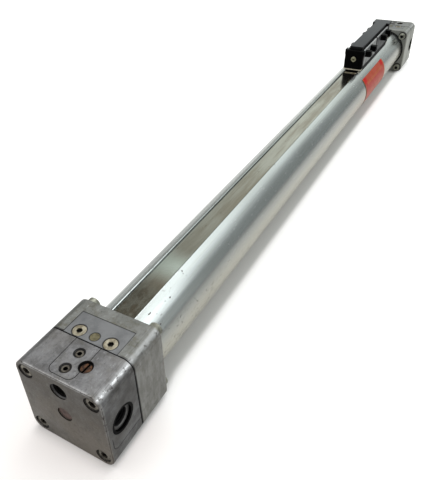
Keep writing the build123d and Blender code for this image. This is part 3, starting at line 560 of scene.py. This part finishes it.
def label_foil():
    """Red foil, reddest at its upper ends, paler, pinker and hazier lower down, with plain gold rules.

    The climb is the angle up the barrel's right side, in radians."""
    finish = Finish("label_foil", metallic=0.25, specular=0.25)
    climb = (finish.z - barrel_height).turn(finish.y * -1)
    along = (finish.x - label_low.x) / (label_high.x - label_low.x)
    # Paler and pinker lower down.
    paler_low = climb.fall(-0.35, 0.7)
    patchy = finish.noise(9 * mm, detail=4).rise(0.4, 0.65)
    edge = 0.5 - abs(along - 0.5)
    upper = climb.rise(0.5, 0.56)
    red = finish.mix(tone(190, 52, 42), tone(176, 66, 54), patchy * 0.6)
    red = finish.mix(red, tone(190, 92, 62), upper * 0.6)
    red = finish.mix(red, tone(200, 14, 4), upper * edge.fall(0.13, 0.15))
    red = finish.mix(red, tone(196, 132, 122), paler_low * 0.7)
    rules = edge.fall(0.018, 0.026) * 0.7
    for height in (0.5, 0.43, -0.02):
        rules = rules.greater(climb.hump(height, 0.022) * edge.rise(0.1, 0.12))
    colour = finish.mix(red, tone(196, 150, 70), rules * 0.7)
    colour = finish.mix(colour, tone(52, 40, 30), along.fall(0.006, 0.016) * 0.85)
    finish.set("Base Color", colour)
    finish.set("Roughness", 0.42 + patchy * 0.12 + paler_low * 0.1)
    finish.relief(patchy, 0.03 * mm)
    return finish.material


slot_finishes = {
    "barrel_aluminium": anodised_barrel(),
    "band_steel": band_steel("sealing_band_steel"),
    "label_foil": label_foil(),
    "cast_aluminium": cast_aluminium(),
    "gasket_fibre": black_finish("gasket", tone(8, 8, 8), tone(26, 25, 24), 0.8, specular=0.1),
    "screw_steel": plain_metal("dull_screw_steel", tone(120, 117, 108), tone(74, 69, 62), 0.85, 0.34),
    "clamp_zinc": clamp_plate(),
    "pale_steel": plain_metal("pale_plating", tone(150, 148, 126), tone(112, 108, 88), 0.7, 0.42),
    "aged_brass": plain_metal("tarnished_brass", tone(104, 82, 54), tone(66, 50, 38), 0.8, 0.38, 3 * mm),
    "black_rubber": black_finish("black_rubber", tone(12, 12, 13), tone(54, 53, 52), 0.6, specular=0.2),
    "piston_aluminium": plain_metal("turned_aluminium", tone(190, 190, 188), tone(160, 160, 158), 0.9, 0.3),
    "black_anodised": black_finish("carriage_black", tone(5, 5, 6), tone(22, 22, 24), 0.45, specular=0.04),
    "cover_aluminium": cover_slate(),
    "plain_aluminium": side_plate(),
    "guide_plastic": black_finish("guide_plastic", tone(34, 34, 35), tone(70, 70, 70), 0.5),
}

# Pieces whose own age or dirt sets them apart from the others of their slot
plug_finish = plain_metal("plug_lacquer", tone(100, 78, 72), tone(66, 54, 50), 0.3, 0.5, 6 * mm)
strip_finish = plain_metal("pale_strip", tone(214, 208, 190), tone(176, 168, 148), 0.3, 0.4, 5 * mm)
# The port rings, blacker and less shiny than the other rubber.
port_ring_finish = black_finish("port_ring_rubber", tone(6, 6, 7), tone(14, 14, 16), 0.5, specular=0.05)
pin_finish = plain_metal("olive_pin", tone(106, 101, 78), tone(88, 82, 62), 0.6, 0.45, 3 * mm)
flange_screw_finish = plain_metal("greenish_zinc", tone(146, 147, 135), tone(108, 107, 98), 0.7, 0.42,
                                  face=-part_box("near_flange_screws")[1].x)
end_screw_finish = plain_metal("dull_end_screw", tone(126, 121, 110), tone(78, 72, 64), 0.85, 0.3,
                               end=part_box("far_end_screws")[1].x)
passage_finish = plain_metal("oily_set_screw", tone(96, 92, 84), tone(58, 54, 49), 0.8, 0.34,
                             top=passage_high.z)
clamp_screw_finish = plain_metal("pale_clamp_screw", tone(160, 154, 136), tone(118, 110, 92), 0.65, 0.4,
                                 top=clamp_screw_high.z)
needle_finish = plain_metal("brown_needle", tone(82, 57, 40), tone(28, 22, 18), 0.7, 0.36, 2.2 * mm,
                            top=needle_high.z)
own_finishes = {}
for end in ends:
    own_finishes[end + "_end_plug"] = plug_finish
    own_finishes[end + "_wiper_strip"] = strip_finish
    own_finishes[end + "_port_ring"] = port_ring_finish
    own_finishes[end + "_band_clamp_pin"] = pin_finish
    own_finishes[end + "_flange_screws"] = flange_screw_finish
    own_finishes[end + "_end_screws"] = end_screw_finish
    own_finishes[end + "_passage_screws"] = passage_finish
    own_finishes[end + "_band_clamp_screws"] = clamp_screw_finish
    own_finishes[end + "_cushion_screw"] = needle_finish

for part in frame["record"]["subparts"]:
    name = part["node"]
    finish = own_finishes.get(name, slot_finishes[part["material_slot"]])
    nodes[name].data.materials.clear()
    nodes[name].data.materials.append(finish)


def added_piece(name, mesh, material, body):
    """Links a modelled mesh into the scene as a piece that rides on a CAD body, if one is given."""
    piece = bpy.data.objects.new(name, mesh)
    bpy.context.collection.objects.link(piece)
    mesh.materials.append(material)
    if body:
        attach(piece, body)
    return piece


def lofted_mesh(name, rings):
    """A closed skin over rings of points, each ring with the same number of points."""
    work = bmesh.new()
    made = [[work.verts.new(point) for point in ring] for ring in rings]
    for first, second in zip(made, made[1:]):
        for step in range(len(first)):
            following = (step + 1) % len(first)
            work.faces.new((first[step], first[following], second[following], second[step]))
    work.faces.new(made[0])
    work.faces.new(list(reversed(made[-1])))
    bmesh.ops.recalc_face_normals(work, faces=work.faces)
    mesh = bpy.data.meshes.new(name)
    work.to_mesh(mesh)
    work.free()
    return mesh


def thread_mesh(name, mouth, inward, depth):
    """The ridge of an inside screw thread, which winds right-handed along a bore from its mouth."""
    across = Vector((0, 0, 1))
    over = inward.cross(across)
    total = int((depth / thread_pitch - 1) * thread_steps)
    root = thread_major + thread_sink
    rings = []
    for step in range(total + 1):
        turn = 2 * math.pi * step / thread_steps
        outward = across * math.cos(turn) + over * math.sin(turn)
        grown = min(1, (step + 2) / thread_steps, (total - step + 2) / thread_steps)
        crest = thread_major - (thread_major - thread_minor) * grown
        ring = []
        for radius, share in ((root, 0.04), (crest, 0.4), (crest, 0.6), (root, 0.96)):
            centre = mouth + inward * thread_pitch * (step / thread_steps + share)
            ring.append(centre + outward * radius)
        rings.append(ring)
    return lofted_mesh(name, rings)


def add_threads():
    """Threads of the port and the end tap of both ends."""
    for end, way in zip(ends, (-1, 1)):
        port_mouth = Vector((way * port_reach, -port_thread_reach, port_height))
        tap_mouth = Vector((way * (half_length - tap_sink), 0, tap_height))
        for name, mouth, inward, depth in (
                (end + "_port_thread", port_mouth, Vector((0, 1, 0)), port_thread_depth),
                (end + "_tap_thread", tap_mouth, Vector((-way, 0, 0)), tap_thread_depth)):
            mesh = thread_mesh(name, mouth, inward, depth)
            added_piece(name, mesh, slot_finishes["cast_aluminium"], "cylinder")


def strip_mesh(name, stations, width, thickness):
    """A flat strip with softly rounded edges that passes through stations given as X and Z."""
    half = width / 2
    top = thickness / 2
    round_in = thickness * 0.35
    flat = half - round_in
    upright = top - round_in
    section = [(-half, -upright), (-flat, -top), (flat, -top), (half, -upright),
               (half, upright), (flat, top), (-flat, top), (-half, upright)]
    return lofted_mesh(name, [[(x, y, z + lift) for y, lift in section] for x, z in stations])


def eased_ramp(start, end, low, high):
    """Stations of a smooth rise or dive between two levels."""
    stations = []
    for step in range(ramp_steps + 1):
        share = step / ramp_steps
        eased = share * share * (3 - 2 * share)
        stations.append((start + (end - start) * share, low + (high - low) * eased))
    return stations


def travelling_band(node, thickness, level, arch_level, arch_reach):
    """A band in three pieces: two straight runs that stay with the cylinder, one arch that rides with the
    carriage.
    """
    low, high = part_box(node)
    width = high.y - low.y
    finish = slot_finishes["band_steel"]
    near_join = carriage_middle - arch_reach
    far_join = carriage_middle + arch_reach
    for side, start, end in (("near", low.x, near_join), ("far", high.x, far_join)):
        name = side + "_" + node + "_run"
        mesh = strip_mesh(name, [(start, level), (end, level)], width, thickness)
        run = added_piece(name, mesh, finish, None)
        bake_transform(run)
        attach(run, "cylinder")
    name = node + "_arch"
    stations = eased_ramp(near_join, carriage_middle - arch_flat_reach, level, arch_level)
    stations += eased_ramp(carriage_middle + arch_flat_reach, far_join, arch_level, level)
    mesh = strip_mesh(name, stations, width, thickness)
    arch = added_piece(name, mesh, finish, "carriage")
    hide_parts(node)


def studio():
    """The floor. The camera sees it glow white, except in a painted shadow close beneath the cylinder and a
    faint pinkish painted shade in front of the near end.

    The metal sees its paint without that glow, dimmer the further it lies from the cylinder."""
    floor_size = 14
    bpy.ops.mesh.primitive_plane_add(size=floor_size)
    floor = bpy.context.object
    floor.name = "floor"
    finish = Finish("floor_paint")
    seen = finish.node("ShaderNodeLightPath", output="Is Camera Ray")
    left = finish.y.rise(0.1, 0.2) * finish.x.fall(-0.5, 0.5)
    away = (finish.y * -1 - 0.02).greater(left * 0.3).greater(0)
    shown = finish.mix((0, 0, 0, 1), tone(244, 243, 240), 1 / (1 + away * 4.8))
    # Faint pinkish painted shade on the floor in front of the near end.
    front = finish.x.fall(-0.42, -0.38)
    plain = finish.mix(tone(224, 224, 222), tone(216, 216, 215), front)
    # Painted shadow: the glow is taken away in a strip beneath the cylinder, a little wider by the near end.
    shadow_strip = (abs(finish.y) - finish.x.fall(-0.4, -0.36) * 0.006).fall(0.024, 0.032)
    shadow_strip = shadow_strip * abs(finish.x).fall(0.44, 0.46)
    near = finish.mix((0.46, 0.457, 0.455, 1), (0.42, 0.385, 0.37, 1), front)
    near = finish.mix(near, (0, 0, 0, 1), shadow_strip)
    paint = finish.mix(near, (1.2, 1.2, 1.2, 1), distance(finish.x, finish.y).rise(0.9, 1.6))
    finish.set("Base Color", finish.mix(shown, plain, seen))
    finish.set("Roughness", 0.9)
    finish.set("Emission Color", finish.mix((0, 0, 0, 1), paint, seen))
    finish.set("Emission Strength", 1.0)
    floor.data.materials.append(finish.material)


def room_side():
    """The room round the cylinder, bright ahead and dim on both sides, for the metal to show.

    Headings and angles are in degrees, leftwards from the way to the far end."""
    radius = 2.5
    foot = 0.04
    top = 3.8
    first_angle = 100
    angle_step = 4
    column_count = 46
    work = bmesh.new()
    columns = []
    for step in range(column_count):
        angle = math.radians(first_angle - step * angle_step)
        x = radius * math.cos(angle)
        y = radius * math.sin(angle)
        columns.append((work.verts.new((x, y, foot)), work.verts.new((x, y, top))))
    for first, second in zip(columns, columns[1:]):
        work.faces.new((first[0], second[0], second[1], first[1]))
    mesh = bpy.data.meshes.new("room_side")
    work.to_mesh(mesh)
    work.free()
    card = bpy.data.objects.new("room_side", mesh)
    bpy.context.collection.objects.link(card)
    finish = Finish("room_light")
    heading = finish.y.turn(finish.x) * (180 / math.pi)
    dim = finish.mix((0.23, 0.25, 0.243, 1), (2.0, 2.1, 2.1, 1), finish.z.rise(0.8, 3.4))
    dim = finish.mix(dim, (0.5, 0.53, 0.53, 1), heading.fall(-62, -50) * finish.z.fall(0.9, 1.6))
    ahead = finish.mix((0.8, 0.84, 0.8, 1), (1.28, 1.36, 1.3, 1), finish.z.rise(0.7, 1.25))
    colour = finish.mix(dim, ahead, heading.rise(-26, -3))
    colour = finish.mix(colour, (0.22, 0.23, 0.215, 1), heading.rise(-16, 54))
    finish.set("Base Color", (0, 0, 0, 1))
    finish.set("Roughness", 1.0)
    finish.set("Emission Color", colour)
    finish.set("Emission Strength", 1.0)
    mesh.materials.append(finish.material)
    card.visible_camera = False


def area_light(name, place, width, height, power, colour):
    """A soft rectangular lamp that looks at the middle of the cylinder's base."""
    data = bpy.data.lights.new(name, "AREA")
    data.shape = "RECTANGLE"
    data.size = width
    data.size_y = height
    data.energy = power
    data.color = colour
    lamp = bpy.data.objects.new(name, data)
    bpy.context.collection.objects.link(lamp)
    lamp.location = place
    lamp.rotation_euler = (-Vector(place)).to_track_quat("-Z", "Y").to_euler()


def surroundings():
    """White for the camera and for what metal shows, a plain level for everything else."""
    world = bpy.data.worlds.new("surroundings")
    world.use_nodes = True
    bpy.context.scene.world = world
    sky = Shading(world.node_tree)
    seen = sky.node("ShaderNodeLightPath", output="Is Camera Ray")
    for kind in ("Is Glossy Ray", "Is Transmission Ray"):
        seen = seen.greater(sky.node("ShaderNodeLightPath", output=kind))
    background = world.node_tree.nodes["Background"]
    sky.feed(background.inputs["Strength"], 0.5 + seen * 0.5)
    sky.feed(background.inputs["Color"], (1, 1, 1, 1))


def photograph_camera():
    """The camera, standing where the photograph was taken from."""
    heading = math.radians(31.012)
    dip = math.radians(35.244)
    roll = math.radians(-2.407)
    focal_pixels = 518.9
    axis_column = 197.7
    axis_row = 226.7
    photo_width = 428
    photo_height = 480
    photo_side = max(photo_width, photo_height)
    data = bpy.data.cameras.new("camera")
    data.sensor_fit = "AUTO"
    data.sensor_width = 36
    data.lens = focal_pixels * data.sensor_width / photo_side
    data.shift_x = (photo_width / 2 - axis_column) / photo_side
    data.shift_y = (axis_row - photo_height / 2) / photo_side
    data.clip_start = 0.01
    camera = bpy.data.objects.new("camera", data)
    bpy.context.collection.objects.link(camera)
    sight = Vector((math.cos(dip) * math.cos(heading), math.cos(dip) * math.sin(heading), -math.sin(dip)))
    level_turn = sight.to_track_quat("-Z", "Y")
    camera.rotation_mode = "QUATERNION"
    camera.rotation_quaternion = level_turn @ Quaternion((0, 0, 1), roll)
    camera.location = (-0.57763, -0.18103, 0.31929)
    bpy.context.scene.camera = camera


add_threads()
travelling_band("outer_band", outer_thickness, band_low.z + outer_thickness / 2,
                band_high.z - outer_thickness / 2, outer_arch_reach)
travelling_band("inner_band", inner_thickness, inner_high.z - inner_thickness / 2,
                inner_low.z + inner_thickness / 2, inner_arch_reach)
studio()
room_side()
area_light("overhead", (0.2, 0.5, 2.2), 2.4, 1.6, 32, (1.0, 1.0, 1.0))
area_light("window", (0.5, -1.9, 1.7), 2.0, 1.3, 9, (0.93, 0.97, 1.0))
surroundings()
photograph_camera()
bpy.context.scene.view_settings.view_transform = "Standard"
